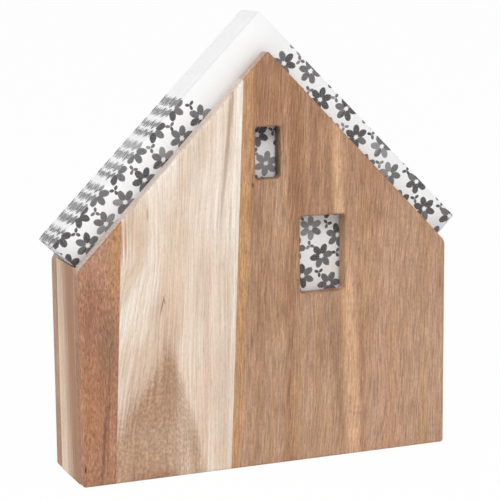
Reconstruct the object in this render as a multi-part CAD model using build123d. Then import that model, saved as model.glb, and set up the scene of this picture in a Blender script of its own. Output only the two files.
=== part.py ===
from build123d import *

import math
import os

# House-shaped napkin holder of edge-glued acacia boards, with a stack of folded paper napkins.
# Millimetres. +X runs to the right, the front board faces -Y, +Z is up.
# The origin lies under the middle of the holder, on the surface it stands on.

# House outline, shared by the front and the back board
house_width = 213.0
eave_height = 115.8
roof_rise = 109.1
apex_offset = 0.45
apex_radius = 1.7
eave_radius = 6.0
foot_radius = 1.7

# Boards
front_board_thickness = 8.0
back_board_thickness = 10.5
outer_edge_round = 1.6
inner_edge_round = 0.8

# Windows of the front board
small_window_width = 14.6
small_window_height = 28.0
small_window_below_apex = 40.0
small_window_offset = 0.1
large_window_width = 26.8
large_window_height = 42.2
large_window_sill = 93.0
large_window_offset = 31.8
window_corner_radius = 2.0
window_edge_round = 1.3

# Staves: widths measured along the foot from the left, and how far the glue lines lean to the right
front_left_stave_width = 17.9
front_middle_stave_width = 65.6
front_glue_lean = 2.5
back_left_stave_width = 75.0
back_middle_stave_width = 97.0
back_glue_lean = 1.5

# Walls and base, cut from one strip
frame_thickness = 11.0
wall_top_rise = 0.8
wall_top_round = 0.3
wall_foot_round = 0.8

# Napkins: a 330 mm sheet folded twice, standing on one corner
napkin_side = 165.5
napkin_thickness = 1.2
napkin_air = 0.1
napkin_count = 20
napkin_corner_blunt = 0.3

# Room round the stack
front_air = 2.5
spare_depth = 2.0
seat_gap = 0.3

# Dowels
dowel_diameter = 5.0
dowel_chamfer = 0.5
dowel_glue_gap = 0.05
dowel_end_room = 0.4
board_hole_depth = 5.4
frame_hole_depth = 10.4
wall_hole_depth = 6.4
base_end_hole_depth = 14.4
wall_dowel_inset = 28.0
base_dowel_spacing = 100.0
end_dowel_spacing = 16.0

# Sizes that follow
half_width = house_width / 2
apex_height = eave_height + roof_rise
napkin_pitch = napkin_thickness + napkin_air
pocket_depth = front_air + napkin_count * napkin_pitch + spare_depth
outer_y = (front_board_thickness + pocket_depth + back_board_thickness) / 2
front_inner_y = -outer_y + front_board_thickness
back_inner_y = outer_y - back_board_thickness
pocket_middle_y = (front_inner_y + back_inner_y) / 2
wall_height = eave_height + wall_top_rise
napkin_reach = (napkin_side - napkin_corner_blunt) / math.sqrt(2)
napkin_centre_height = frame_thickness + seat_gap + napkin_reach
far = 4 * (house_width + apex_height)


def prism(outline, y_from, y_to):
    """Solid with an outline drawn in X and Z, from one depth to another."""
    return extrude(Plane.XZ.offset(-y_to) * outline, amount=y_to - y_from)


def house_outline():
    """The house's outline with its rounded foot, eaves and apex."""
    outline = Polygon(
        (-half_width, 0),
        (half_width, 0),
        (half_width, eave_height),
        (apex_offset, apex_height),
        (-half_width, eave_height),
        align=None,
    )
    for height, radius in [(0, foot_radius), (eave_height, eave_radius), (apex_height, apex_radius)]:
        corners = [corner for corner in outline.vertices() if abs(corner.Y - height) < 0.001]
        outline = fillet(corners, radius)
    return outline


def stave_outline(left, right):
    """The band between two glue lines, each given as its place at the foot and its lean in degrees."""
    def at(line, height):
        place, lean = line
        return (place + height * math.tan(math.radians(lean)), height)

    low, high = -house_width, 2 * apex_height
    return Polygon(at(left, low), at(right, low), at(right, high), at(left, high), align=None)


def window_outline(width, height, middle, sill):
    """An upright window with slightly rounded corners."""
    return Pos(middle, sill + height / 2) * RectangleRounded(width, height, window_corner_radius)


def round_free_edges(board, face_at, radius, above):
    """Rounds a board's rim where it faces the pocket, but only above the walls' tops, where it is free."""
    cut = Plane((0, 0, above))
    upper = split(board, bisect_by=cut, keep=Keep.TOP)
    lower = split(board, bisect_by=cut, keep=Keep.BOTTOM)
    rim = [
        edge
        for edge in upper.edges()
        if abs(edge.center().Y - face_at) < 0.001
        and abs(edge.bounding_box().size.Y) < 0.001
        and edge.center().Z > above + 0.001
    ]
    return fillet(rim, radius) + lower


def dowel(start, direction, length):
    """A dowel with chamfered ends, lying along a direction from its first end."""
    peg = Cylinder(dowel_diameter / 2, length, align=(Align.CENTER, Align.CENTER, Align.MIN))
    peg = chamfer(peg.edges().filter_by(GeomType.CIRCLE), dowel_chamfer)
    return Plane(origin=start, z_dir=direction) * peg


def dowel_hole(start, direction, length):
    """The hole for a dowel, wider by the film of glue."""
    hole = Cylinder(
        dowel_diameter / 2 + dowel_glue_gap, length, align=(Align.CENTER, Align.CENTER, Align.MIN)
    )
    return Plane(origin=start, z_dir=direction) * hole


def joint_pair(place, into_first, first_depth, second_depth):
    """Dowel and hole across a joint: the hole goes into both pieces, the dowel stops short of its ends."""
    way = Vector(*into_first)
    mouth = Vector(*place) - way * second_depth
    length = first_depth + second_depth
    peg = dowel(mouth + way * dowel_end_room, way, length - 2 * dowel_end_room)
    return peg, dowel_hole(mouth, way, length)


# Where the dowels stand
wall_middle = half_width - frame_thickness / 2
base_middle = frame_thickness / 2
board_dowel_places = [
    (side * wall_middle, height)
    for side in (-1, 1)
    for height in (wall_dowel_inset, wall_height - wall_dowel_inset)
]
board_dowel_places += [(side * base_dowel_spacing / 2, base_middle) for side in (-1, 1)]
front_pairs = [
    joint_pair((x, front_inner_y, z), (0, -1, 0), board_hole_depth, frame_hole_depth)
    for x, z in board_dowel_places
]
back_pairs = [
    joint_pair((x, back_inner_y, z), (0, 1, 0), board_hole_depth, frame_hole_depth)
    for x, z in board_dowel_places
]
end_pairs = [
    joint_pair(
        (side * (half_width - frame_thickness), pocket_middle_y + depth * end_dowel_spacing / 2, base_middle),
        (side, 0, 0),
        wall_hole_depth,
        base_end_hole_depth,
    )
    for side in (-1, 1)
    for depth in (-1, 1)
]
front_dowels, front_holes = zip(*front_pairs)
back_dowels, back_holes = zip(*back_pairs)
end_dowels, end_holes = zip(*end_pairs)


def make_board(outer_face, inner_face, holes):
    """One house-shaped board: rounded rim, free upper rim rounded inside too, dowel holes."""
    board = prism(house_outline(), min(outer_face, inner_face), max(outer_face, inner_face))
    rim = [
        edge
        for edge in board.edges()
        if abs(edge.center().Y - outer_face) < 0.001 and edge.bounding_box().size.Y < 0.001
    ]
    board = fillet(rim, outer_edge_round)
    board = round_free_edges(board, inner_face, inner_edge_round, wall_height)
    for hole in holes:
        board -= hole
    return board


def cut_windows(board):
    """Opens the two windows in the front board and rounds their front edges."""
    small_sill = apex_height - small_window_below_apex - small_window_height
    windows = [
        (small_window_width, small_window_height, small_window_offset, small_sill),
        (large_window_width, large_window_height, large_window_offset, large_window_sill),
    ]
    for width, height, middle, sill in windows:
        board -= prism(window_outline(width, height, middle, sill), -outer_y, front_inner_y)
        rim = [
            edge
            for edge in board.edges()
            if abs(edge.center().Y + outer_y) < 0.001
            and edge.bounding_box().size.Y < 0.001
            and abs(edge.center().X - middle) < width / 2 + 0.1
            and sill - 0.1 < edge.center().Z < sill + height + 0.1
        ]
        board = fillet(rim, window_edge_round)
    return board


def cut_staves(board, left_width, middle_width, lean):
    """Parts a board along its two glue lines into left, middle and right stave."""
    first = (-half_width + left_width, lean)
    second = (-half_width + left_width + middle_width, lean)
    bounds = [(-far, lean), first, second, (far, lean)]
    return [
        board & prism(stave_outline(left, right), -2 * outer_y, 2 * outer_y)
        for left, right in zip(bounds, bounds[1:])
    ]


def make_wall(side):
    """A wall between the boards; its top slopes down inwards just under the napkins' lower edges."""
    wall = Box(frame_thickness, pocket_depth, wall_height)
    wall = Pos(side * wall_middle, pocket_middle_y, wall_height / 2) * wall
    along = wall.edges().filter_by(Axis.Y)
    outer = [edge for edge in along if edge.center().X * side > wall_middle]
    foot = min(outer, key=lambda edge: edge.center().Z)
    wall = fillet(foot, wall_foot_round)
    bed = napkin_centre_height - (napkin_side / 2 + seat_gap) * math.sqrt(2)
    room = Polygon((0, bed), (far, bed + far), (-far, bed + far), align=None)
    wall -= prism(room, -outer_y, outer_y)
    along = wall.edges().filter_by(Axis.Y)
    crown = max(along, key=lambda edge: (round(edge.center().Z, 3), edge.center().X * side))
    wall = fillet(crown, wall_top_round)
    for hole in front_holes + back_holes + end_holes:
        wall -= hole
    return wall


def make_base():
    """The strip between the walls that closes the pocket below."""
    base = Box(house_width - 2 * frame_thickness, pocket_depth, frame_thickness)
    base = Pos(0, pocket_middle_y, base_middle) * base
    for hole in front_holes + back_holes + end_holes:
        base -= hole
    return base


def make_napkin(place):
    """One folded napkin as a plain square plate on its corner, counted from the front."""
    square = chamfer(Rectangle(napkin_side, napkin_side).vertices(), napkin_corner_blunt)
    diamond = Pos(0, napkin_centre_height) * Rot(0, 0, 45) * square
    front = front_inner_y + front_air + place * napkin_pitch
    return prism(diamond, front, front + napkin_thickness)


front_board = cut_windows(make_board(-outer_y, front_inner_y, front_holes))
back_board = make_board(outer_y, back_inner_y, back_holes)

nodes = {}
front_staves = cut_staves(front_board, front_left_stave_width, front_middle_stave_width, front_glue_lean)
back_staves = cut_staves(back_board, back_left_stave_width, back_middle_stave_width, back_glue_lean)
for place, front_stave, back_stave in zip(("left", "middle", "right"), front_staves, back_staves):
    nodes[f"front_{place}_stave"] = front_stave
    nodes[f"back_{place}_stave"] = back_stave
nodes["left_wall"] = make_wall(-1)
nodes["right_wall"] = make_wall(1)
nodes["base"] = make_base()
nodes["front_board_dowels"] = Compound(children=list(front_dowels))
nodes["back_board_dowels"] = Compound(children=list(back_dowels))
nodes["base_dowels"] = Compound(children=list(end_dowels))
for place in range(napkin_count):
    nodes[f"napkin_{place + 1:02d}"] = make_napkin(place)

os.makedirs("parts", exist_ok=True)
for name, shape in nodes.items():
    export_step(shape, f"parts/{name}.step")
print(f"{len(nodes)} nodes, {house_width:.0f} mm wide, {2 * outer_y:.1f} mm deep, {apex_height:.0f} mm high")
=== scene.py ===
# %% [markdown]
# # A house-shaped napkin holder of oiled acacia
# The real thing is two boards sawn to the outline of a house, glued to a U of walls and base, with a stack
# of folded paper napkins standing on one corner between them. The solids come from the CAD model and stay
# where they are. This lesson gives them wood and paper: one solid wood texture for every stave, and real
# folded sheets in place of the plain plates that stand for the napkins. Lengths are metres unless a name
# ends in _mm or a comment says millimetres.

# %% Load the frame
import math
import random

import bpy
from mathutils import Matrix, Vector


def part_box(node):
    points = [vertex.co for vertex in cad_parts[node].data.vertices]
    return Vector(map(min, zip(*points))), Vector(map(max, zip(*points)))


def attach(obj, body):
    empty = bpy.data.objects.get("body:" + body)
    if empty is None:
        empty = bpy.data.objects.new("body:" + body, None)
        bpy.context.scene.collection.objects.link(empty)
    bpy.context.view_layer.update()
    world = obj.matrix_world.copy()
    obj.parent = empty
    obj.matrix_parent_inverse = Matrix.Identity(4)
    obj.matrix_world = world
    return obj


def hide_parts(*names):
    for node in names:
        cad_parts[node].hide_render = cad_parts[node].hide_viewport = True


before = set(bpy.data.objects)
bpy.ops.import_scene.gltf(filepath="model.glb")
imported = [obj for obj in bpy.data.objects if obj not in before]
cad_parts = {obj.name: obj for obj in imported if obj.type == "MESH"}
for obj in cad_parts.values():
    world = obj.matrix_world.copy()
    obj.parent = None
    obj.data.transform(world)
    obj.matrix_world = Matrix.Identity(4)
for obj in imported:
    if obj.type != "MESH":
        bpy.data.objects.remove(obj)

scene = bpy.context.scene
mm = 0.001
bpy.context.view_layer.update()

# %% [markdown]
# ## Camera
# A product picture like this is taken from a few steps away with a long lens, so the house keeps its
# upright lines. The camera stands to the left of the front board and a little above it. Its place is
# written in millimetres and its turn, tilt and roll in degrees, and the lens follows from a picture 500
# pixels wide on a 36 mm sensor.

# %% Camera
focal_pixels, picture_pixels, sensor_mm = 1862.1, 500, 36.0
turn, tilt, roll = (math.radians(angle) for angle in (22.425, 10.339, 0.524))
camera_place_mm = (-382.4, -924.4, 297.3)

forward = Vector((math.sin(turn) * math.cos(tilt), math.cos(turn) * math.cos(tilt), -math.sin(tilt)))
right = Vector((math.cos(turn), -math.sin(turn), 0.0))
down = forward.cross(right)
picture_x = math.cos(roll) * right + math.sin(roll) * down
picture_y = math.cos(roll) * down - math.sin(roll) * right
camera = bpy.data.objects.new("camera", bpy.data.cameras.new("camera"))
camera.data.sensor_width = sensor_mm
camera.data.lens = focal_pixels / picture_pixels * sensor_mm
axes = Matrix((picture_x, -picture_y, -forward)).transposed()
camera.matrix_world = Matrix.Translation(Vector(camera_place_mm) * mm) @ axes.to_4x4()
scene.collection.objects.link(camera)
scene.camera = camera
print("lens", round(camera.data.lens, 1), "mm")

# %% [markdown]
# ## Node helper and colours
# Every material below is a tree of shader nodes. One small function adds a node, sets its options and
# fills its inputs with numbers or with the outputs of other nodes, so the trees read from top to bottom.
# Colours are written as the sRGB hex values that a picture editor shows, and turned to the linear values
# that the renderer works in. Two settings that come back often, mixing colours and a soft step, get a name
# here.

# %% Node helper and colours
mix_colours = {"data_type": "RGBA", "out": "Result"}
soft_step = {"interpolation_type": "SMOOTHSTEP"}


def linear(code):
    """Linear RGBA of an sRGB hex colour."""
    channels = [int(code[i:i + 2], 16) / 255 for i in (1, 3, 5)]
    return [c / 12.92 if c <= 0.04045 else ((c + 0.055) / 1.055) ** 2.4 for c in channels] + [1.0]


def add(tree, kind, inputs=None, out=0, stops=(), **options):
    """Adds one shader node: options are its settings, inputs are numbers or other nodes' outputs, and stops
    are the places and shades of a colour scale. Gives the output out, or the whole node if out is None."""
    node = tree.nodes.new("ShaderNode" + kind)
    for name, value in options.items():
        setattr(node, name, value)
    for name, value in (inputs or {}).items():
        if isinstance(value, bpy.types.NodeSocket):
            tree.links.new(value, node.inputs[name])
        else:
            node.inputs[name].default_value = value
    for number, (place, shade) in enumerate(stops):
        scale = node.color_ramp.elements
        if number >= len(scale):
            scale.new(place)
        scale[number].position = place
        scale[number].color = linear(shade)
    return node.outputs[out] if node.outputs and out is not None else node


def new_material(name):
    """An empty node material and its tree."""
    material = bpy.data.materials.new(name)
    material.use_nodes = True
    material.node_tree.nodes.clear()
    return material, material.node_tree


print("a mid grey is", [round(c, 3) for c in linear("#808080")[:3]])

# %% [markdown]
# ## Floor and white room
# The studio is a white sweep. The floor is a plain matte white that takes the soft shadow, and where the
# camera sees it, most of it shows as even white. The room around it is white too: to the camera, in
# reflections and through glass it has strength 1, and as light on the object it is weaker, so that nothing
# is washed out.

# %% Floor and white room
floor_reach = 20.0
even_share, room_light = 0.975, 0.46


def shows_studio(tree):
    """1 for the rays that show the studio itself: from the camera, in a reflection or through glass."""
    rays = add(tree, "LightPath", out=None).outputs
    straight = add(tree, "Math", {0: rays["Is Camera Ray"], 1: rays["Is Glossy Ray"]}, operation="MAXIMUM")
    return add(tree, "Math", {0: straight, 1: rays["Is Transmission Ray"]}, operation="MAXIMUM")


floor_mesh = bpy.data.meshes.new("floor")
corners = [(x * floor_reach, y * floor_reach, 0) for x, y in ((-1, -1), (1, -1), (1, 1), (-1, 1))]
floor_mesh.from_pydata(corners, [], [(0, 1, 2, 3)])
floor = bpy.data.objects.new("floor", floor_mesh)
scene.collection.objects.link(floor)
paper_sweep, tree = new_material("matte white paper sweep")
seen = add(tree, "Math", {0: shows_studio(tree), 1: even_share}, operation="MULTIPLY")
matte = add(tree, "BsdfDiffuse", {"Color": linear("#f7f7f7")})
even = add(tree, "Emission", {"Color": linear("#ffffff"), "Strength": 1.0})
sweep = add(tree, "MixShader", {0: seen, 1: matte, 2: even})
add(tree, "OutputMaterial", {"Surface": sweep})
floor_mesh.materials.append(paper_sweep)

world = bpy.data.worlds.new("white studio")
world.use_nodes = True
tree = world.node_tree
tree.nodes.clear()
room = add(tree, "Background", {"Color": linear("#ffffff"), "Strength": room_light})
white = add(tree, "Background", {"Color": linear("#ffffff"), "Strength": 1.0})
both = add(tree, "MixShader", {0: shows_studio(tree), 1: room, 2: white})
add(tree, "OutputWorld", {"Surface": both})
scene.world = world
print("a white floor", 2 * floor_reach, "m wide and a white room")

# %% [markdown]
# ## Soft boxes
# Light comes from a large soft box high in front, one on the left and a weaker one on the right. Large
# lamps give soft shadows, as a photographer's do. Together with the room they are set so that a colour on
# the front board renders about as it is written. For the same reason the view transform is Standard: a
# filmic one would pull the whites down.

# %% Soft boxes
house_middle = Vector((0, 0, 0.11))
# name, place, size and watts
soft_boxes = (
    ("soft box front", (-0.35, -1.40, 1.40), 0.8, 13.5),
    ("soft box left", (-1.50, -0.35, 0.80), 0.9, 5.0),
    ("soft box right", (1.35, -0.70, 0.70), 0.9, 2.5),
)
for name, place, size, watts in soft_boxes:
    lamp = bpy.data.lights.new(name, "AREA")
    lamp.size = size
    lamp.energy = watts
    holder = bpy.data.objects.new(name, lamp)
    holder.location = place
    holder.rotation_euler = (house_middle - Vector(place)).to_track_quat("-Z", "Y").to_euler()
    scene.collection.objects.link(holder)
scene.view_settings.view_transform = "Standard"
print(len(soft_boxes), "soft boxes")

# %% [markdown]
# ## Acacia: the grain
# Acacia boards are glued up from narrow staves, so brown heartwood and cream sapwood lie side by side. A
# picture could be wrapped round each stave, but it would not match at the edges and in the windows. So the
# wood is a solid texture, made of noise that is drawn out along the grain: in broad colour bands, in
# fibres and in pores. The grain itself wanders slowly on its way up and curls a little, and beside a flame
# it may open out.

# %% Acacia: the grain
# size of a sway across and along the grain, and for the slow one how far it goes; each stave has its own curl
slow_wander_mm, quick_curl_mm = (45, 95, 8.0), (4, 11)


def streaks(tree, grain, wide_mm, long_mm, detail, roughness=0.55):
    """Noise drawn out along the grain, with streaks of that width and length."""
    per_mm = (1 / wide_mm, 1 / wide_mm, 1 / long_mm)
    drawn = add(tree, "VectorMath", {0: grain, 1: per_mm}, operation="MULTIPLY")
    return add(tree, "TexNoise", {"Vector": drawn, "Scale": 1.0, "Detail": detail, "Roughness": roughness})


def stave_grain(tree, lean, seed, curl, turned):
    """The place on the stave in mm, and the same place along its grain, which leans to the right by lean
    degrees and curls by curl mm. turned swings the texture about Z in degrees."""
    place = add(tree, "TexCoord", out="Object")
    swing = {"Scale": (1 / mm,) * 3, "Rotation": (0, 0, math.radians(turned))}
    face = add(tree, "Mapping", {"Vector": place} | swing)
    grain = add(tree, "Mapping", {"Vector": face, "Rotation": (0, -math.radians(lean), 0), "Location": seed})
    for wide_mm, long_mm, sway_mm in (slow_wander_mm, (*quick_curl_mm, curl)):
        sway = streaks(tree, grain, wide_mm, long_mm, 1.0, roughness=0.5)
        sway = add(tree, "Math", {0: sway, 1: sway_mm, 2: -sway_mm / 2}, operation="MULTIPLY_ADD")
        sway = add(tree, "CombineXYZ", {0: sway})
        grain = add(tree, "VectorMath", {0: grain, 1: sway}, operation="ADD")
    return add(tree, "SeparateXYZ", {0: face}, out=None).outputs, grain


def opened_grain(tree, grain, x, z, opens_x, opens_z, amount):
    """Grain that opens out to the left below a point."""
    left = add(tree, "Math", {0: opens_x, 1: x}, operation="SUBTRACT")
    left = add(tree, "Math", {0: left, 1: 0.0}, operation="MAXIMUM")
    below = add(tree, "Math", {0: opens_z, 1: z}, operation="SUBTRACT")
    below = add(tree, "Math", {0: below, 1: 0.0}, operation="MAXIMUM")
    wider = add(tree, "Math", {0: below, 1: amount, 2: 1.0}, operation="MULTIPLY_ADD")
    drawn = add(tree, "Math", {0: left, 1: wider}, operation="DIVIDE")
    moved = add(tree, "Math", {0: left, 1: drawn}, operation="SUBTRACT")
    moved = add(tree, "CombineXYZ", {0: moved})
    return add(tree, "VectorMath", {0: grain, 1: moved}, operation="ADD")


print("the grain wanders by", slow_wander_mm[2], "mm over about", slow_wander_mm[1], "mm of height")

# %% [markdown]
# ## Acacia: flame and marks
# Where a board is cut close to the border of heart and sap, the heartwood stands in it as a brown flame.
# Knots, cracks and darker or paler streaks make each stave its own. Painting them by hand would need a
# picture, so they are laid over the bands by their place in millimetres, as soft ovals that may lean.
# Fibres fray their edges, and come last in the colour, so they run through every mark.

# %% Acacia: flame and marks
flame_round_mm, flame_fray_mm = 25.0, 18.0
mark_fray = 1.2


def flame_mask(tree, x, z, fibres, tip_x, tip_z, left_run, right_run, blur):
    """1 in a flame and 0 outside it. Its sides run out by left_run and right_run mm for each mm of height."""
    from_tip = add(tree, "Math", {0: x, 1: tip_x}, operation="SUBTRACT")
    to_left = add(tree, "Math", {0: from_tip, 1: -1 / left_run}, operation="MULTIPLY")
    to_right = add(tree, "Math", {0: from_tip, 1: 1 / right_run}, operation="MULTIPLY")
    height = add(tree, "Math", {0: to_left, 1: to_right, 2: flame_round_mm}, operation="SMOOTH_MAX")
    height = add(tree, "Math", {0: height, 1: z})
    height = add(tree, "Math", {0: fibres, 1: flame_fray_mm, 2: height}, operation="MULTIPLY_ADD")
    height = add(tree, "Math", {0: height, 1: flame_fray_mm / 2}, operation="SUBTRACT")
    edge = {"From Min": tip_z - blur, "From Max": tip_z + blur, "To Min": 1.0, "To Max": 0.0}
    return add(tree, "MapRange", {"Value": height} | edge, **soft_step)


def lay_marks(tree, colour, x, z, fibres, marks):
    """Lays marks over the colour: x, z, width and height in mm, lean in degrees, blur, shade and strength."""
    border = 1 + mark_fray / 2
    for mark_x, mark_z, width, height, lean, blur, shade, strength in marks:
        off = add(tree, "Math", {0: z, 1: mark_z}, operation="SUBTRACT")
        slope = -math.tan(math.radians(lean))
        aside = add(tree, "Math", {0: off, 1: slope, 2: x}, operation="MULTIPLY_ADD")
        aside = add(tree, "Math", {0: aside, 1: mark_x}, operation="SUBTRACT")
        span = add(tree, "CombineXYZ", {0: aside, 1: off})
        span = add(tree, "VectorMath", {0: span, 1: (2 / width, 2 / height, 0)}, operation="MULTIPLY")
        span = add(tree, "VectorMath", {0: span}, out="Value", operation="LENGTH")
        span = add(tree, "Math", {0: fibres, 1: mark_fray, 2: span}, operation="MULTIPLY_ADD")
        edge = {"From Min": border - blur, "From Max": border + blur, "To Min": strength, "To Max": 0.0}
        there = add(tree, "MapRange", {"Value": span} | edge, **soft_step)
        colour = add(tree, "Mix", {"Factor": there, "A": colour, "B": linear(shade)}, **mix_colours)
    return colour


print("a flame's tip is rounded over", flame_round_mm, "mm")

# %% [markdown]
# ## Acacia: sawn edges and openings
# The outline was sawn and the sawn edges were sanded once more. Where they look up they are paler, partly
# as sanded end grain and partly as a painted sheen of the light from above, and the rounded rim beside them
# is a little darker. In the windows the jambs get a painted shade that deepens towards the pocket, where
# less light gets in. Separate materials on these faces would show a hard border, so the direction of the
# surface and the place in the board decide instead.

# %% Acacia: sawn edges and openings
# the paler colour of upward edges, sanded end grain under a painted sheen, and the painted shade in the
# windows
sanded_sheen_shade, painted_shade_colour = "#d7c6bc", "#35251b"
rounding_starts_mm, rounding_ends_mm = 0.2, 1.4
# how far a surface looks along Y or Z: from where a change starts to where it is complete
looks_up, on_edge = {"From Max": 0.7}, {"From Min": 0.60, "From Max": 0.15}
on_rim, short_of_edge = {"From Min": 0.99, "From Max": 0.80}, {"From Min": 0.20, "From Max": 0.55}
on_sill = {"From Min": 0.2, "From Max": 0.8, "To Min": 1.0, "To Max": 0.5}
# share of the painted shade already at the front face of an opening
front_shade_share = 0.1
board_front_mm, board_back_mm = (corner.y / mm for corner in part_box("front_right_stave"))


def opening_mask(tree, x, z, middle_x, middle_z, width, height):
    """1 on the jambs and the sill of an opening in the board, 0 on the face around it."""
    beyond = []
    for along, middle, size in ((x, middle_x, width), (z, middle_z, height)):
        aside = add(tree, "Math", {0: along, 1: middle}, operation="SUBTRACT")
        aside = add(tree, "Math", {0: aside}, operation="ABSOLUTE")
        beyond.append(add(tree, "Math", {0: aside, 1: size / 2}, operation="SUBTRACT"))
    beyond = add(tree, "Math", {0: beyond[0], 1: beyond[1]}, operation="MAXIMUM")
    edge = {"From Min": rounding_starts_mm, "From Max": rounding_ends_mm, "To Min": 1.0, "To Max": 0.0}
    return add(tree, "MapRange", {"Value": beyond} | edge)


def sand_and_sheen_edges(tree, colour, facing, up, openings, sanded_sheen, rim):
    """Paints the edges that look up paler by sanded_sheen, as sanded end grain under a painted sheen of the
    light from above, and the rounded rim beside them darker by rim. facing and up are how far the surface
    looks along Y and Z."""
    facing = add(tree, "Math", {0: facing}, operation="ABSOLUTE")
    high = add(tree, "MapRange", {"Value": up} | looks_up)
    for inside, _ in openings:
        outside = add(tree, "Math", {0: 1.0, 1: inside}, operation="SUBTRACT")
        high = add(tree, "Math", {0: high, 1: outside}, operation="MULTIPLY")
    sanded_sheen_mask = add(tree, "MapRange", {"Value": facing, "To Max": sanded_sheen} | on_edge)
    sanded_sheen_mask = add(tree, "Math", {0: sanded_sheen_mask, 1: high}, operation="MULTIPLY")
    colour = add(tree, "Mix", {"Factor": sanded_sheen_mask, "A": colour, "B": linear(sanded_sheen_shade)}, **mix_colours)
    rounded = add(tree, "MapRange", {"Value": facing, "To Max": rim} | on_rim)
    short = add(tree, "MapRange", {"Value": facing} | short_of_edge)
    rim_darkening = add(tree, "Math", {0: rounded, 1: short}, operation="MULTIPLY")
    rim_darkening = add(tree, "Math", {0: rim_darkening, 1: high}, operation="MULTIPLY")
    rim_darkening = add(tree, "Math", {0: 1.0, 1: rim_darkening}, operation="SUBTRACT")
    return add(tree, "VectorMath", {0: colour, "Scale": rim_darkening}, operation="SCALE")


def shade_openings(tree, colour, y, up, openings):
    """Paints shade into the openings, growing from the front face to the pocket, the sill half as much as the
    jambs.
    """
    through = {"From Min": board_front_mm, "From Max": board_back_mm, "To Min": front_shade_share}
    for inside, darkness in openings:
        deep = add(tree, "MapRange", {"Value": y, "To Max": darkness} | through)
        sill = add(tree, "MapRange", {"Value": up} | on_sill)
        painted_shade = add(tree, "Math", {0: inside, 1: deep}, operation="MULTIPLY")
        painted_shade = add(tree, "Math", {0: painted_shade, 1: sill}, operation="MULTIPLY")
        colour = add(tree, "Mix", {"Factor": painted_shade, "A": colour, "B": linear(painted_shade_colour)}, **mix_colours)
    return colour


print("the front board is", round(board_back_mm - board_front_mm, 1), "mm thick")

# %% [markdown]
# ## Acacia: the oiled wood
# Now the layers come together. Bands and patches read their colour off three shades, then come flame,
# marks, edges and openings, a slow drift between a dull reddish and a rich golden brown, and at last
# fibres, curly flecks and pores. The oil finish leaves a soft satin, with a sheen that is broken by the
# open grain. Real pores are about 0.2 mm wide; here they are drawn nearly 0.6 mm wide so that they show.

# %% Acacia: the oiled wood
# width and length of the figure in mm, and its detail
bands_figure, patches_figure = (6.0, 240.0, 3.0), (20.0, 50.0, 2.0)
warmth_figure, flecks_figure = (5.0, 150.0, 2.0), (0.9, 2.0, 2.0)
fibre_detail, pore_detail = 3.0, 1.0
shade_places = (0.40, 0.50, 0.60)
patch_share, fibre_flare, flame_flecks = 0.45, 0.2, 3.0
pore_shade, pore_depth = "#a87f62", -0.7
pore_span, middle_of_noise = {"From Min": 0.56, "From Max": 0.74}, {"From Min": 0.3, "From Max": 0.7}
# the drift goes three times as far to red as to gold, and is stronger in richness than in hue
golden_share, dulls, enriches = 1 / 3, 8, 12


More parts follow.
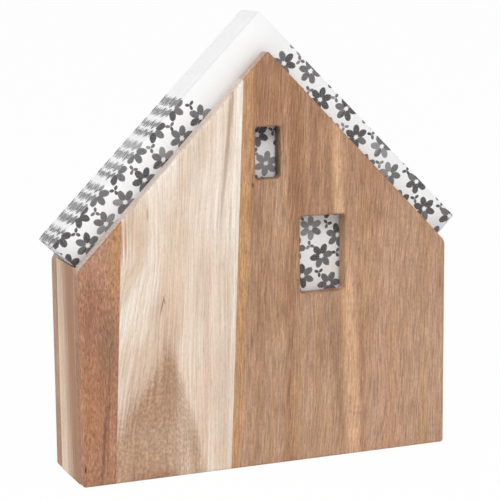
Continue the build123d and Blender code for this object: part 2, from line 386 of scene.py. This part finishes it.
def acacia(
    name, shades, lean, seed, fineness=0.22, fibre_mm=(0.7, 14.0), pitted=0.40, pore_mm=(0.55, 4.0),
    speckle=0.08, curl=1.2, drift=0.006, flame=None, flare=None, marks=(), turned=0.0, sanded_sheen=0.0, rim=0.0,
    cuts=(),
):
    """Oiled acacia in three shades from dark to light.
    lean, seed, curl and turned set the grain, and flare is where and how much it opens: x, z and amount.
    fineness is the contrast of the fibres, pitted that of the pores and speckle that of the curly flecks;
    fibre_mm and pore_mm are their width and length. drift is how far the hue and its richness wander.
    flame is a flame of heartwood: tip x, tip z, run to the left and to the right, blur, and its three shades.
    marks are listed as lay_marks takes them. sanded_sheen is how much paler the edges that look up are
    painted, as sanded end grain under a painted sheen, and rim is how much darker their rounded rim is.
    cuts are openings through the board: middle x, middle z, width, height and the darkness of their painted
    shade.
    All lengths are in mm, and leans in degrees."""
    material, tree = new_material(name)
    (x, y, z), grain = stave_grain(tree, lean, seed, curl, turned)
    coarse = opened_grain(tree, grain, x, z, *flare) if flare else grain
    fine = opened_grain(tree, grain, x, z, *flare[:2], flare[2] * fibre_flare) if flare else grain
    bands = streaks(tree, coarse, *bands_figure)
    patches = streaks(tree, coarse, *patches_figure)
    warmth = streaks(tree, coarse, *warmth_figure)
    fibres = streaks(tree, fine, *fibre_mm, fibre_detail)
    pores = streaks(tree, fine, *pore_mm, pore_detail)
    flecks = streaks(tree, fine, *flecks_figure)

    # bands and patches, with the flame and the marks over them
    tone = add(tree, "Mix", {"Factor": patch_share, "A": bands, "B": patches}, out="Result")
    colour = add(tree, "ValToRGB", {"Fac": tone}, stops=zip(shade_places, shades))
    dots = {"To Min": -speckle, "To Max": speckle}
    dots = add(tree, "MapRange", {"Value": flecks} | middle_of_noise | dots)
    if flame:
        *outline, flame_shades = flame
        brown = flame_mask(tree, x, z, fibres, *outline)
        heart = add(tree, "ValToRGB", {"Fac": tone}, stops=zip(shade_places, flame_shades))
        colour = add(tree, "Mix", {"Factor": brown, "A": colour, "B": heart}, **mix_colours)
        dotted = add(tree, "Math", {0: brown, 1: flame_flecks, 2: 1.0}, operation="MULTIPLY_ADD")
        dots = add(tree, "Math", {0: dots, 1: dotted}, operation="MULTIPLY")
    colour = lay_marks(tree, colour, x, z, fibres, marks)

    # paler edges with a painted sheen, darker rims, and painted shade in the openings
    normal = add(tree, "NewGeometry", out="Normal")
    _, facing, up = add(tree, "SeparateXYZ", {0: normal}, out=None).outputs
    openings = [(opening_mask(tree, x, z, *box), darkness) for *box, darkness in cuts]
    if sanded_sheen:
        colour = sand_and_sheen_edges(tree, colour, facing, up, openings, sanded_sheen, rim)
    colour = shade_openings(tree, colour, y, up, openings)

    # the drift of hue and richness, then fibres, flecks and pores over everything
    wander = {"Value": warmth} | middle_of_noise
    hue = add(tree, "MapRange", wander | {"To Min": 0.5 - drift, "To Max": 0.5 + drift * golden_share})
    richness = {"To Min": 1 - drift * dulls, "To Max": 1 + drift * enriches}
    richness = add(tree, "MapRange", wander | richness)
    colour = add(tree, "HueSaturation", {"Color": colour, "Hue": hue, "Saturation": richness})
    lines = {"To Min": 1 - fineness, "To Max": 1 + fineness}
    lines = add(tree, "MapRange", {"Value": fibres} | middle_of_noise | lines)
    colour = add(tree, "VectorMath", {0: colour, "Scale": lines}, operation="SCALE")
    dots = add(tree, "Math", {0: dots, 1: 1.0})
    colour = add(tree, "VectorMath", {0: colour, "Scale": dots}, operation="SCALE")
    pits = add(tree, "MapRange", {"Value": pores, "To Max": pitted} | pore_span)
    pits = {"Factor": pits, "A": colour, "B": linear(pore_shade)}
    colour = add(tree, "Mix", pits, blend_type="MULTIPLY", **mix_colours)

    # open pores and raised fibres break the satin of the oil
    height = add(tree, "Math", {0: pores, 1: pore_depth, 2: fibres}, operation="MULTIPLY_ADD")
    relief = add(tree, "Bump", {"Strength": 0.15, "Distance": 0.2 * mm, "Height": height})
    satin = add(tree, "MapRange", {"Value": fibres, "To Min": 0.60, "To Max": 0.46} | middle_of_noise)
    finish = {"Base Color": colour, "Roughness": satin, "Normal": relief}
    wood = add(tree, "BsdfPrincipled", finish | {"IOR": 1.45, "Specular IOR Level": 0.3})
    add(tree, "OutputMaterial", {"Surface": wood})
    return material


def dress(node, material):
    """Gives a CAD node its finish."""
    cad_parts[node].material_slots[0].material = material
    print(node, "is", material.name)


brown_shades = ("#a88265", "#b89375", "#c5a284")
red_shades = ("#a4775c", "#b4866a", "#c1967a")
cream_shades = ("#e0c7b0", "#f0dfcd", "#faf0e5")
print("acacia in browns", brown_shades, "and creams", cream_shades)

# %% [markdown]
# ## Left stave of the front board
# The front board has three staves, and each has a character of its own. The narrow left one is a reddish
# brown heartwood, dotted by curly grain, with an orange corner, a darker patch and drying cracks near the
# foot.

# %% Left stave of the front board
front_lean = 2.5
front_left = acacia(
    "oiled acacia heartwood, reddish", red_shades, front_lean, (31.0, 7.0, 210.0),
    fineness=0.24, fibre_mm=(0.8, 4.0), pitted=0.55, pore_mm=(0.6, 2.4), speckle=0.20, curl=2.6,
    # upward edges painted paler, as sanded grain under a painted sheen, and their rims darker
    drift=0.004, sanded_sheen=0.85, rim=0.36,
    marks=[
        # orange corner, reddish top, grey-brown patch, orange foot
        (-85.5, 126.0, 8.0, 56.0, 2.5, 0.7, "#c4946b", 0.75),
        (-99.0, 98.0, 18.0, 44.0, 0.0, 0.9, "#a06f57", 0.45),
        (-91.0, 75.0, 9.0, 34.0, 2.0, 0.8, "#93735c", 0.65),
        (-100.0, 38.0, 13.0, 56.0, 2.0, 0.8, "#bb845e", 0.60),
        # drying cracks and a nick
        (-94.5, 22.0, 1.6, 62.0, 5.0, 0.9, "#7a5340", 0.75),
        (-91.8, 34.0, 1.0, 50.0, 3.0, 0.9, "#7f5944", 0.60),
        (-105.1, 9.8, 0.9, 3.0, 0.0, 0.4, "#4c3528", 0.90),
    ],
)
dress("front_left_stave", front_left)

# %% [markdown]
# ## Middle stave of the front board
# The middle stave is sapwood, with the tip of the heartwood rising through it as a brown flame from the
# foot. The grain opens out to the left of the flame, and over its tip sits one pin knot.

# %% Middle stave of the front board
front_middle = acacia(
    "oiled acacia sapwood with a heartwood flame", cream_shades, front_lean, (5.0, 3.0, 55.0),
    fineness=0.16, fibre_mm=(0.8, 42.0), pitted=0.24, pore_mm=(0.6, 9.0), speckle=0.06, curl=0.7,
    flame=(-56.4, 75.0, 0.68, 0.255, 11.0, ("#b9967b", "#c9a98e", "#d7bca4")), flare=(-57.5, 118.0, 0.04),
    # upward edges painted paler, as sanded grain under a painted sheen, and their rims a little darker
    drift=0.003, sanded_sheen=0.85, rim=0.12,
    marks=[
        # dark and pale streaks under the roof
        (-23.4, 176.0, 2.4, 84.0, 7.0, 0.8, "#a8917c", 0.75),
        (-18.6, 180.0, 3.6, 70.0, 4.0, 0.8, "#f5e8d8", 0.30),
        (-41.0, 160.0, 7.0, 80.0, 3.0, 0.9, "#d9c8b8", 0.20),
        (-30.0, 166.0, 9.0, 80.0, 4.0, 0.9, "#fbeee0", 0.55),
        # tan ground to the right of the flame, and thin lines at the left eave
        (-36.0, 42.0, 26.0, 150.0, 5.0, 0.9, "#ead3bd", 0.60),
        (-80.5, 130.5, 1.2, 24.0, 0.7, 0.7, "#c2885a", 0.75),
        (-82.6, 130.0, 0.9, 24.0, 0.7, 0.7, "#a8683e", 0.70),
        (-68.3, 142.8, 0.9, 6.0, 0.0, 0.6, "#a98a66", 0.60),
        # haze over the flame's tip, its dark right side, and pink and grey streaks beside it
        (-56.0, 90.0, 13.0, 46.0, 3.0, 0.9, "#d9b89d", 0.50),
        (-47.8, 28.0, 8.0, 66.0, -14.6, 0.8, "#a98568", 0.50),
        (-37.0, 50.0, 3.2, 90.0, 2.0, 0.8, "#dfbfab", 0.55),
        (-27.0, 40.0, 8.0, 130.0, 2.0, 0.9, "#dccdbb", 0.45),
        (-45.5, 84.0, 9.0, 110.0, 4.0, 0.9, "#ead4be", 0.65),
        # pale heart and red foot of the flame, warm middle, pale glue line
        (-63.0, 15.0, 26.0, 24.0, 0.0, 0.9, "#c7a88e", 0.55),
        (-64.0, 1.0, 20.0, 6.0, 0.0, 0.7, "#a8765a", 0.60),
        (-52.9, 118.0, 14.0, 50.0, 3.0, 0.9, "#efd8c1", 0.60),
        (-19.9, 110.0, 2.2, 320.0, 2.5, 0.6, "#f3e6d8", 0.60),
        # pin knot
        (-60.9, 94.5, 0.7, 9.0, 12.0, 0.5, "#7d5a42", 0.85),
        (-60.0, 97.0, 0.6, 4.0, -14.0, 0.5, "#7d5a42", 0.70),
    ],
)
dress("front_middle_stave", front_middle)

# %% [markdown]
# ## Right stave of the front board
# The wide right stave is brown heartwood with both windows in it. A golden band runs along the glue line,
# and a pale streak leans the other way, past the large window to the foot. Both windows get painted shade,
# and the small one is the darker of the two, because less light gets into it.

# %% Right stave of the front board
# middle x, middle z, width and height in mm, as the CAD model cuts them
small_window, large_window = (0.1, 170.9, 14.6, 28.0), (31.8, 114.1, 26.8, 42.2)
front_right = acacia(
    "oiled acacia heartwood", brown_shades, front_lean, (77.0, 19.0, 400.0),
    # upward edges painted paler, as sanded grain under a painted sheen, less than on the other staves
    fineness=0.33, speckle=0.12, drift=0.008, sanded_sheen=0.38, rim=0.22,
    # painted shade in the windows: darker in the small one, where less light gets in
    cuts=[(*small_window, 0.9), (*large_window, 0.2)],
    marks=[
        # broad tones: paler at the right and at the foot, darker under the roof
        (80.0, 50.0, 62.0, 230.0, -2.0, 0.9, "#c29d80", 0.70),
        (62.0, 160.0, 26.0, 70.0, -3.0, 0.9, "#a87e62", 0.60),
        (8.0, 208.0, 44.0, 56.0, 0.0, 0.9, "#a27655", 0.65),
        (30.0, 162.0, 30.0, 70.0, 0.0, 0.9, "#ae8260", 0.40),
        (40.0, 14.0, 130.0, 90.0, 0.0, 0.9, "#c9a688", 0.35),
        # dark streaks, the golden band, and the shade to the left of the pale streak
        (16.5, 158.0, 6.0, 150.0, 1.0, 0.9, "#8f664c", 0.55),
        (27.0, 168.0, 4.0, 90.0, 0.0, 0.9, "#976e54", 0.40),
        (11.3, 54.0, 5.0, 110.0, 1.0, 0.9, "#996e55", 0.50),
        (-16.5, 100.0, 8.0, 420.0, 2.5, 0.7, "#c79b72", 0.75),
        (40.0, 62.0, 9.0, 150.0, -4.0, 0.9, "#98795f", 0.45),
        # the pale streak in three stretches, a red line beside it, and a pink tone at the right
        (40.3, 165.0, 5.0, 90.0, -1.5, 0.6, "#dcb28c", 0.75),
        (44.5, 105.0, 6.5, 120.0, -5.5, 0.6, "#deb48e", 0.80),
        (49.0, 38.0, 9.5, 130.0, -2.0, 0.6, "#dab18b", 0.85),
        (55.2, 30.0, 3.0, 120.0, -1.0, 0.8, "#aa775e", 0.55),
        (72.0, 30.0, 16.0, 160.0, -3.0, 0.9, "#c49a80", 0.40),
        # a small knot
        (-9.1, 154.3, 1.4, 2.2, 0.0, 0.4, "#7a563f", 0.80),
    ],
)
dress("front_right_stave", front_right)

# %% [markdown]
# ## Walls and base
# The left wall was sawn across the border of heart and sap, so it is cream towards the back and brown
# towards the front. The right wall and the base are the same wood from other logs. The walls' texture is
# swung by a quarter turn, so that it looks to the side, and the base's grain runs across the holder, along
# X.

# %% Walls and base
strip_shades = ("#e6c9ae", "#f0d6bc", "#f6e1cb")
left_wall = acacia(
    "oiled acacia, sap and heart in one strip", strip_shades, 0.0, (3.0, 40.0, 12.0),
    fineness=0.10, fibre_mm=(0.8, 40.0), pitted=0.15, turned=90.0,
    marks=[
        # the brown heart side, and a painted highlight at the joint, where the front board's rounded edge
        # catches light
        (16.0, 60.0, 36.0, 900.0, -4.0, 0.60, "#aa7d5d", 0.97),
        (16.2, 112.0, 1.6, 150.0, 0.0, 0.7, "#d6b396", 0.60),
    ],
)
right_wall = acacia(
    "oiled acacia heartwood, right wall", brown_shades, 0.5, (61.0, 90.0, 33.0), turned=90.0,
)
base = acacia("oiled acacia heartwood, base", brown_shades, 90.0, (9.0, 31.0, 57.0))
for node, wood in (("left_wall", left_wall), ("right_wall", right_wall), ("base", base)):
    dress(node, wood)

# %% [markdown]
# ## Back board
# The back board is glued up like the front one, from other staves: brown on the one side, reddish on the
# other, and between them sapwood with a softer flame.

# %% Back board
# the back board's upward edges are painted paler too: sanded end grain under a painted sheen
back_lean, back_sanded_sheen = 1.5, 0.55
back_left = acacia(
    "oiled acacia heartwood, back left", brown_shades, back_lean, (12.0, 55.0, 640.0),
    speckle=0.12, sanded_sheen=back_sanded_sheen, marks=[(-62.0, 90.0, 9.0, 420.0, 3.0, 0.6, "#cfa680", 0.70)],
)
back_middle = acacia(
    "oiled acacia sapwood and heartwood, back middle", cream_shades, back_lean, (140.0, 21.0, 90.0),
    fineness=0.16, sanded_sheen=back_sanded_sheen,
    flame=(20.0, 104.0, 0.42, 0.18, 30.0, ("#bb987e", "#c9aa91", "#d7bda6")),
)
back_right = acacia(
    "oiled acacia heartwood, back right", red_shades, back_lean, (18.0, 77.0, 810.0),
    speckle=0.16, sanded_sheen=back_sanded_sheen,
)
for place, wood in (("left", back_left), ("middle", back_middle), ("right", back_right)):
    dress(f"back_{place}_stave", wood)

# %% [markdown]
# ## Dowels
# The boards and the base are held by turned beech dowels, which only show when the holder is taken apart.
# Beech is an even, pale wood with short fine flecks, about 0.7 mm wide and 8 mm long, and it is left
# unfinished, so that glue takes to it: that makes it matte.

# %% Dowels
flecks_per_metre = (1500, 120, 1500)
dark_beech, light_beech = linear("#c79f78"), linear("#dfc09c")
beech, tree = new_material("turned beech")
place = add(tree, "TexCoord", out="Object")
flecks = add(tree, "VectorMath", {0: place, 1: flecks_per_metre}, operation="MULTIPLY")
flecks = add(tree, "TexNoise", {"Vector": flecks, "Scale": 1.0, "Detail": 3.0})
shade = add(tree, "Mix", {"Factor": flecks, "A": dark_beech, "B": light_beech}, **mix_colours)
peg = add(tree, "BsdfPrincipled", {"Base Color": shade, "Roughness": 0.7, "IOR": 1.5})
add(tree, "OutputMaterial", {"Surface": peg})
for joint in ("front_board", "back_board", "base"):
    dress(joint + "_dowels", beech)

# %% [markdown]
# ## Blossom print
# The napkins are printed in greys on the outer side only, with an all-over pattern of simple six-petalled
# blossoms and three-leaved sprigs in a half-drop repeat, and a plain middle. A picture would blur along
# the folds, so the print is worked out from the place on the flat sheet, before folding. The folds then
# cut it exactly as they cut a real print, and the edges of the stack show it as rows of short dashes.

# %% Blossom print: lattice and petals
repeat_mm = 15.0
first_row = 0.15
petal_edge = {"From Min": 1.10, "From Max": 1.24, "To Min": 1.0, "To Max": 0.0}
brush_wobble = 0.35


def motif_places(tree, flat, column_shift, petals):
    """The half-drop lattice: every other column stands half a repeat higher. Gives the place in mm from the
    middle of a motif, its column and row, and its own random numbers."""
    per_repeat, start = (1 / repeat_mm,) * 3, (first_row, column_shift, 0)
    cell = add(tree, "VectorMath", {0: flat, 1: per_repeat, 2: start}, operation="MULTIPLY_ADD")
    along, across, _ = add(tree, "SeparateXYZ", {0: cell}, out=None).outputs
    column = add(tree, "Math", {0: across}, operation="FLOOR")
    odd = add(tree, "Math", {0: column, 1: 2.0}, operation="FLOORED_MODULO")
    along = add(tree, "Math", {0: odd, 1: 0.5, 2: along}, operation="MULTIPLY_ADD")
    row = add(tree, "Math", {0: along}, operation="FLOOR")
    key = add(tree, "CombineXYZ", {0: row, 1: column, 2: petals})
    chance = add(tree, "TexWhiteNoise", {"Vector": key}, out=None).outputs
    local = add(tree, "CombineXYZ", {0: along, 1: across})
    local = add(tree, "VectorMath", {0: local, 1: key}, operation="SUBTRACT")
    in_mm, middle = (repeat_mm, repeat_mm, 0), (-repeat_mm / 2, -repeat_mm / 2, 0)
    local = add(tree, "VectorMath", {0: local, 1: in_mm, 2: middle}, operation="MULTIPLY_ADD")
    # no motif stands quite in the middle of its cell
    nudge = {0: chance["Color"], 1: (1, 1, 0), 2: (-0.5, -0.5, 0)}
    nudge = add(tree, "VectorMath", nudge, operation="MULTIPLY_ADD")
    local = add(tree, "VectorMath", {0: local, 1: nudge}, operation="ADD")
    return local, column, row, chance


def petal_mask(tree, local, spin, brush, petals, ring_mm, long_mm, wide_mm):
    """1 on a motif's petals and 0 between them, and the number of the nearest petal. The petals are ovals on
    a ring, turned by a random spin, and the brush makes their outlines uneven."""
    x, y, _ = add(tree, "SeparateXYZ", {0: local}, out=None).outputs
    petal_turn = 2 * math.pi / petals
    angle = add(tree, "Math", {0: y, 1: x}, operation="ARCTAN2")
    angle = add(tree, "Math", {0: spin, 1: 2 * math.pi, 2: angle}, operation="MULTIPLY_ADD")
    petal = add(tree, "Math", {0: angle, 1: petal_turn}, operation="DIVIDE")
    petal = add(tree, "Math", {0: petal}, operation="FLOOR")
    aside = add(tree, "Math", {0: petal, 1: -petal_turn, 2: angle}, operation="MULTIPLY_ADD")
    aside = add(tree, "Math", {0: aside, 1: petal_turn / 2}, operation="SUBTRACT")
    radius = add(tree, "VectorMath", {0: local}, out="Value", operation="LENGTH")
    along = add(tree, "Math", {0: aside}, operation="COSINE")
    along = add(tree, "Math", {0: along, 1: radius, 2: -ring_mm}, operation="MULTIPLY_ADD")
    over = add(tree, "Math", {0: aside}, operation="SINE")
    over = add(tree, "Math", {0: over, 1: radius}, operation="MULTIPLY")
    oval = add(tree, "CombineXYZ", {0: along, 1: over})
    oval = add(tree, "VectorMath", {0: oval, 1: (1 / long_mm, 1 / wide_mm, 0)}, operation="MULTIPLY")
    oval = add(tree, "VectorMath", {0: oval}, out="Value", operation="LENGTH")
    oval = add(tree, "Math", {0: brush, 1: brush_wobble, 2: oval}, operation="MULTIPLY_ADD")
    return add(tree, "MapRange", {"Value": oval} | petal_edge), petal


print("print repeats every", repeat_mm, "mm")

# %% [markdown]
# ## Ink
# Each motif tends to one of three greys, and its petals vary a little. The ink is washed lighter in
# places, skips the hollows of the embossing, which shows as a fine grit, and cracks along the fold, so
# that a white thread runs down each crest. The plain middle leaves out whole blossoms.

# %% Ink
# motifs: shift of the columns, petals, and their ring, length and width in mm; the blossoms stand on the fold
blossom, sprig = (0.5, 6, 4.0, 2.9, 1.85), (-0.1, 3, 1.5, 1.35, 0.85)
plain_place_mm, plain_middle_mm = (-20.0, 8.0, 0.0), 38.0
ink_greys = ((0.0, "#343233"), (0.42, "#646364"), (0.72, "#939293"))
washed_grey, grit_grey = "#9a9899", "#b4b2b3"
grit_per_mm, brush_per_mm, wash_per_mm = 1.5, 0.55, 0.28
wash_share, motif_share, crack_wobble = 0.25, 0.6, -0.5
grit_span = {"From Min": 0.40, "From Max": 0.70, "To Max": 0.35}
crack_span = {"From Min": -0.15, "From Max": 0.05}


def print_blossoms(tree, flat, colour):
    """Prints blossoms and sprigs in grey inks on the paper's colour."""
    grit = add(tree, "TexNoise", {"Vector": flat, "Scale": grit_per_mm, "Detail": 2.0})
    grit = add(tree, "MapRange", {"Value": grit} | grit_span)
    brush = add(tree, "TexNoise", {"Vector": flat, "Scale": brush_per_mm, "Detail": 3.0})
    wash = add(tree, "TexNoise", {"Vector": flat, "Scale": wash_per_mm, "Detail": 2.0})
    wash = add(tree, "Math", {0: wash, 1: wash_share}, operation="MULTIPLY")
    crest = add(tree, "SeparateXYZ", {0: flat}, out="Y")
    crest = add(tree, "Math", {0: crest}, operation="ABSOLUTE")
    crest = add(tree, "Math", {0: brush, 1: crack_wobble, 2: crest}, operation="MULTIPLY_ADD")
    unbroken = add(tree, "MapRange", {"Value": crest} | crack_span)
    for column_shift, petals, *petal_mm in (blossom, sprig):
        local, column, row, chance = motif_places(tree, flat, column_shift, petals)
        mark, petal = petal_mask(tree, local, chance["Value"], brush, petals, *petal_mm)
        middle = add(tree, "VectorMath", {0: flat, 1: local}, operation="SUBTRACT")
        away = add(tree, "VectorMath", {0: middle, 1: plain_place_mm}, out="Value", operation="DISTANCE")
        kept = add(tree, "Math", {0: away, 1: plain_middle_mm}, operation="GREATER_THAN")
        mark = add(tree, "Math", {0: mark, 1: kept}, operation="MULTIPLY")
        mark = add(tree, "Math", {0: mark, 1: unbroken}, operation="MULTIPLY")
        key = add(tree, "CombineXYZ", {0: column, 1: row, 2: petal})
        pick = add(tree, "TexWhiteNoise", {"Vector": key}, out="Value")
        pick = add(tree, "Mix", {"Factor": motif_share, "A": pick, "B": chance["Value"]}, out="Result")
        greys = add(tree, "ValToRGB", {"Fac": pick}, out=None, stops=ink_greys)
        greys.color_ramp.interpolation = "CONSTANT"
        ink = {"Factor": wash, "A": greys.outputs["Color"], "B": linear(washed_grey)}
        ink = add(tree, "Mix", ink, **mix_colours)
        ink = add(tree, "Mix", {"Factor": grit, "A": ink, "B": linear(grit_grey)}, **mix_colours)
        colour = add(tree, "Mix", {"Factor": mark, "A": colour, "B": ink}, **mix_colours)
    return colour


print("three greys:", [shade for _, shade in ink_greys])

# %% [markdown]
# ## Tissue paper
# The napkins are three-ply tissue: soft, matte, a very clean white, and embossed with a fine grain of
# dots. The paper's own fibres make the white a little uneven. The outer side is printed and the inner side
# is plain.

# %% Tissue paper
sheet_mm = 330.8
crepe_per_mm, dots_per_mm = 0.9, 0.75
dull_white, clean_white = linear("#f7f7f7"), linear("#fcfcfc")


def tissue(name, printed):
    """White tissue, with the blossom print or without it."""
    material, tree = new_material(name)
    flat = add(tree, "UVMap", uv_map="flat sheet")
    in_mm, middle = (sheet_mm, sheet_mm, 0), (-sheet_mm / 2, -sheet_mm / 2, 0)
    flat = add(tree, "VectorMath", {0: flat, 1: in_mm, 2: middle}, operation="MULTIPLY_ADD")
    crepe = add(tree, "TexNoise", {"Vector": flat, "Scale": crepe_per_mm, "Detail": 2.0})
    colour = add(tree, "Mix", {"Factor": crepe, "A": dull_white, "B": clean_white}, **mix_colours)
    if printed:
        colour = print_blossoms(tree, flat, colour)
    dots = add(tree, "TexVoronoi", {"Vector": flat, "Scale": dots_per_mm}, out="Distance")
    emboss = add(tree, "Bump", {"Strength": 0.12, "Distance": 0.2 * mm, "Height": dots})
    paper = {"Base Color": colour, "Roughness": 0.95, "IOR": 1.4, "Normal": emboss}
    add(tree, "OutputMaterial", {"Surface": add(tree, "BsdfPrincipled", paper)})
    return material


outer_tissue = tissue("three-ply tissue, printed side", True)
inner_tissue = tissue("three-ply tissue, plain side", False)
print("a flat sheet is", sheet_mm, "mm square")

# %% [markdown]
# ## Folding a napkin
# A napkin is one square sheet folded in half twice and pressed. Cloth simulation could crease it, but
# pressed paper folds are sharp and regular, so a formula does it better: every point of the flat sheet is
# wrapped round the first fold and then round the second, with the true radius of each fold, and the crest
# is pressed flatter than a half round. The grid is fine at the folds and coarse between them.

# %% Folding a napkin
low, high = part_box("napkin_01")
napkin_thick_mm = (high.y - low.y) / mm
napkin_side_mm = (high.z - low.z) / mm / math.sqrt(2)
pressed, innermost_mm, flat_steps = 0.45, 0.03, 12
print("a folded napkin is", round(napkin_side_mm, 1), "mm square and", round(napkin_thick_mm, 2), "mm thick")


def wrap(distance, radius, around):
    """Sine and setback of a point at that distance from a fold's middle line, in a layer bent to that radius
    inside an outermost layer of the radius around."""
    bent = max(-math.pi / 2, min(math.pi / 2, distance / radius))
    flat_rest = max(0.0, abs(distance) - radius * math.pi / 2)
    return math.sin(bent), pressed * (around - radius * math.cos(bent)) + flat_rest


def fold_steps(half, radius):
    """Places across the sheet: close together round the fold, further apart towards the edge."""
    bend = radius * math.pi / 2
    flat = [bend + (half - bend) * (step / flat_steps) for step in range(1, flat_steps + 1)]
    one_side = [bend * 0.5, bend] + flat
    return [-place for place in reversed(one_side)] + [0.0] + one_side


def fold_napkin(thick_mm):
    """A sheet folded twice, in mm: X is the way from the first fold, Z the way from the second. Gives the
    folded points, their places on the flat sheet from 0 to 1, and the faces between them."""
    outer = thick_mm / 2
    first_radius = (outer - innermost_mm) / 2
    middle = (outer + innermost_mm) / 2
    columns, rows = fold_steps(sheet_mm / 2, first_radius), fold_steps(sheet_mm / 2, outer)
    folded, flat = [], []
    for a in columns:
        first_sine, from_first = wrap(a, first_radius, first_radius)
        second_radius = middle - first_radius * first_sine
        for b in rows:
            second_sine, from_second = wrap(b, second_radius, outer)
            folded.append((from_first, second_radius * second_sine, from_second))
            flat.append((a / sheet_mm + 0.5, b / sheet_mm + 0.5))
    count = len(rows)
    starts = [i * count + j for i in range(len(columns) - 1) for j in range(count - 1)]
    faces = [(start, start + count, start + count + 1, start + 1) for start in starts]
    return folded, flat, faces


# the paper is soft, so in the stack each napkin fills most of the air to the next one
soft_fill_mm = 0.08
folded_places, flat_places, faces = fold_napkin(napkin_thick_mm + soft_fill_mm)
print(len(folded_places), "points and", len(faces), "faces in one folded sheet")

# %% [markdown]
# ## The stack
# Twenty folded napkins stand on one corner, the closed corner up, so that both upper edges are folds. No
# hand stacks them perfectly: each sits a fraction of a millimetre off, and its print is a little out of
# register. The random numbers are seeded, so every run builds the same stack. Solidify gives each sheet
# its thickness, with the printed paper outside and the plain one inside.

# %% The stack
ply_mm, above_base_mm = 0.27, 0.05
slip_mm, misprint = (0.4, 0.2), (0.003, 0.0005)
chance = random.Random(7)
root2 = math.sqrt(2)
lowest_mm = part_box("base")[1].z / mm + above_base_mm
napkin_nodes = sorted(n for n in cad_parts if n.startswith("napkin_"))
for node in napkin_nodes:
    low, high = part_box(node)
    tip_mm, middle_mm = high.z / mm, (low.y + high.y) / 2 / mm
    slip_s, slip_t = (chance.uniform(0.0, most) for most in slip_mm)
    shift_u, shift_v = (chance.uniform(-most, most) for most in misprint)
    points = []
    for s, y, t in folded_places:
        s, t = s + slip_s, t + slip_t
        z = max(lowest_mm, tip_mm - (s + t) / root2)
        points.append(((t - s) / root2 * mm, (middle_mm + y) * mm, z * mm))
    mesh = bpy.data.meshes.new(node + "_sheet")
    mesh.from_pydata(points, [], faces)
    layer = mesh.uv_layers.new(name="flat sheet")
    for loop in mesh.loops:
        u, v = flat_places[loop.vertex_index]
        layer.data[loop.index].uv = (u + shift_u, v + shift_v)
    mesh.polygons.foreach_set("use_smooth", [True] * len(faces))
    mesh.materials.append(outer_tissue)
    mesh.materials.append(inner_tissue)
    napkin = bpy.data.objects.new(node + "_sheet", mesh)
    scene.collection.objects.link(napkin)
    ply = napkin.modifiers.new("ply", "SOLIDIFY")
    ply.thickness = ply_mm * mm
    ply.offset = -1.0
    ply.material_offset = 1
    ply.material_offset_rim = 1
    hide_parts(node)
    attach(napkin, node)
print(len(napkin_nodes), "folded napkins")
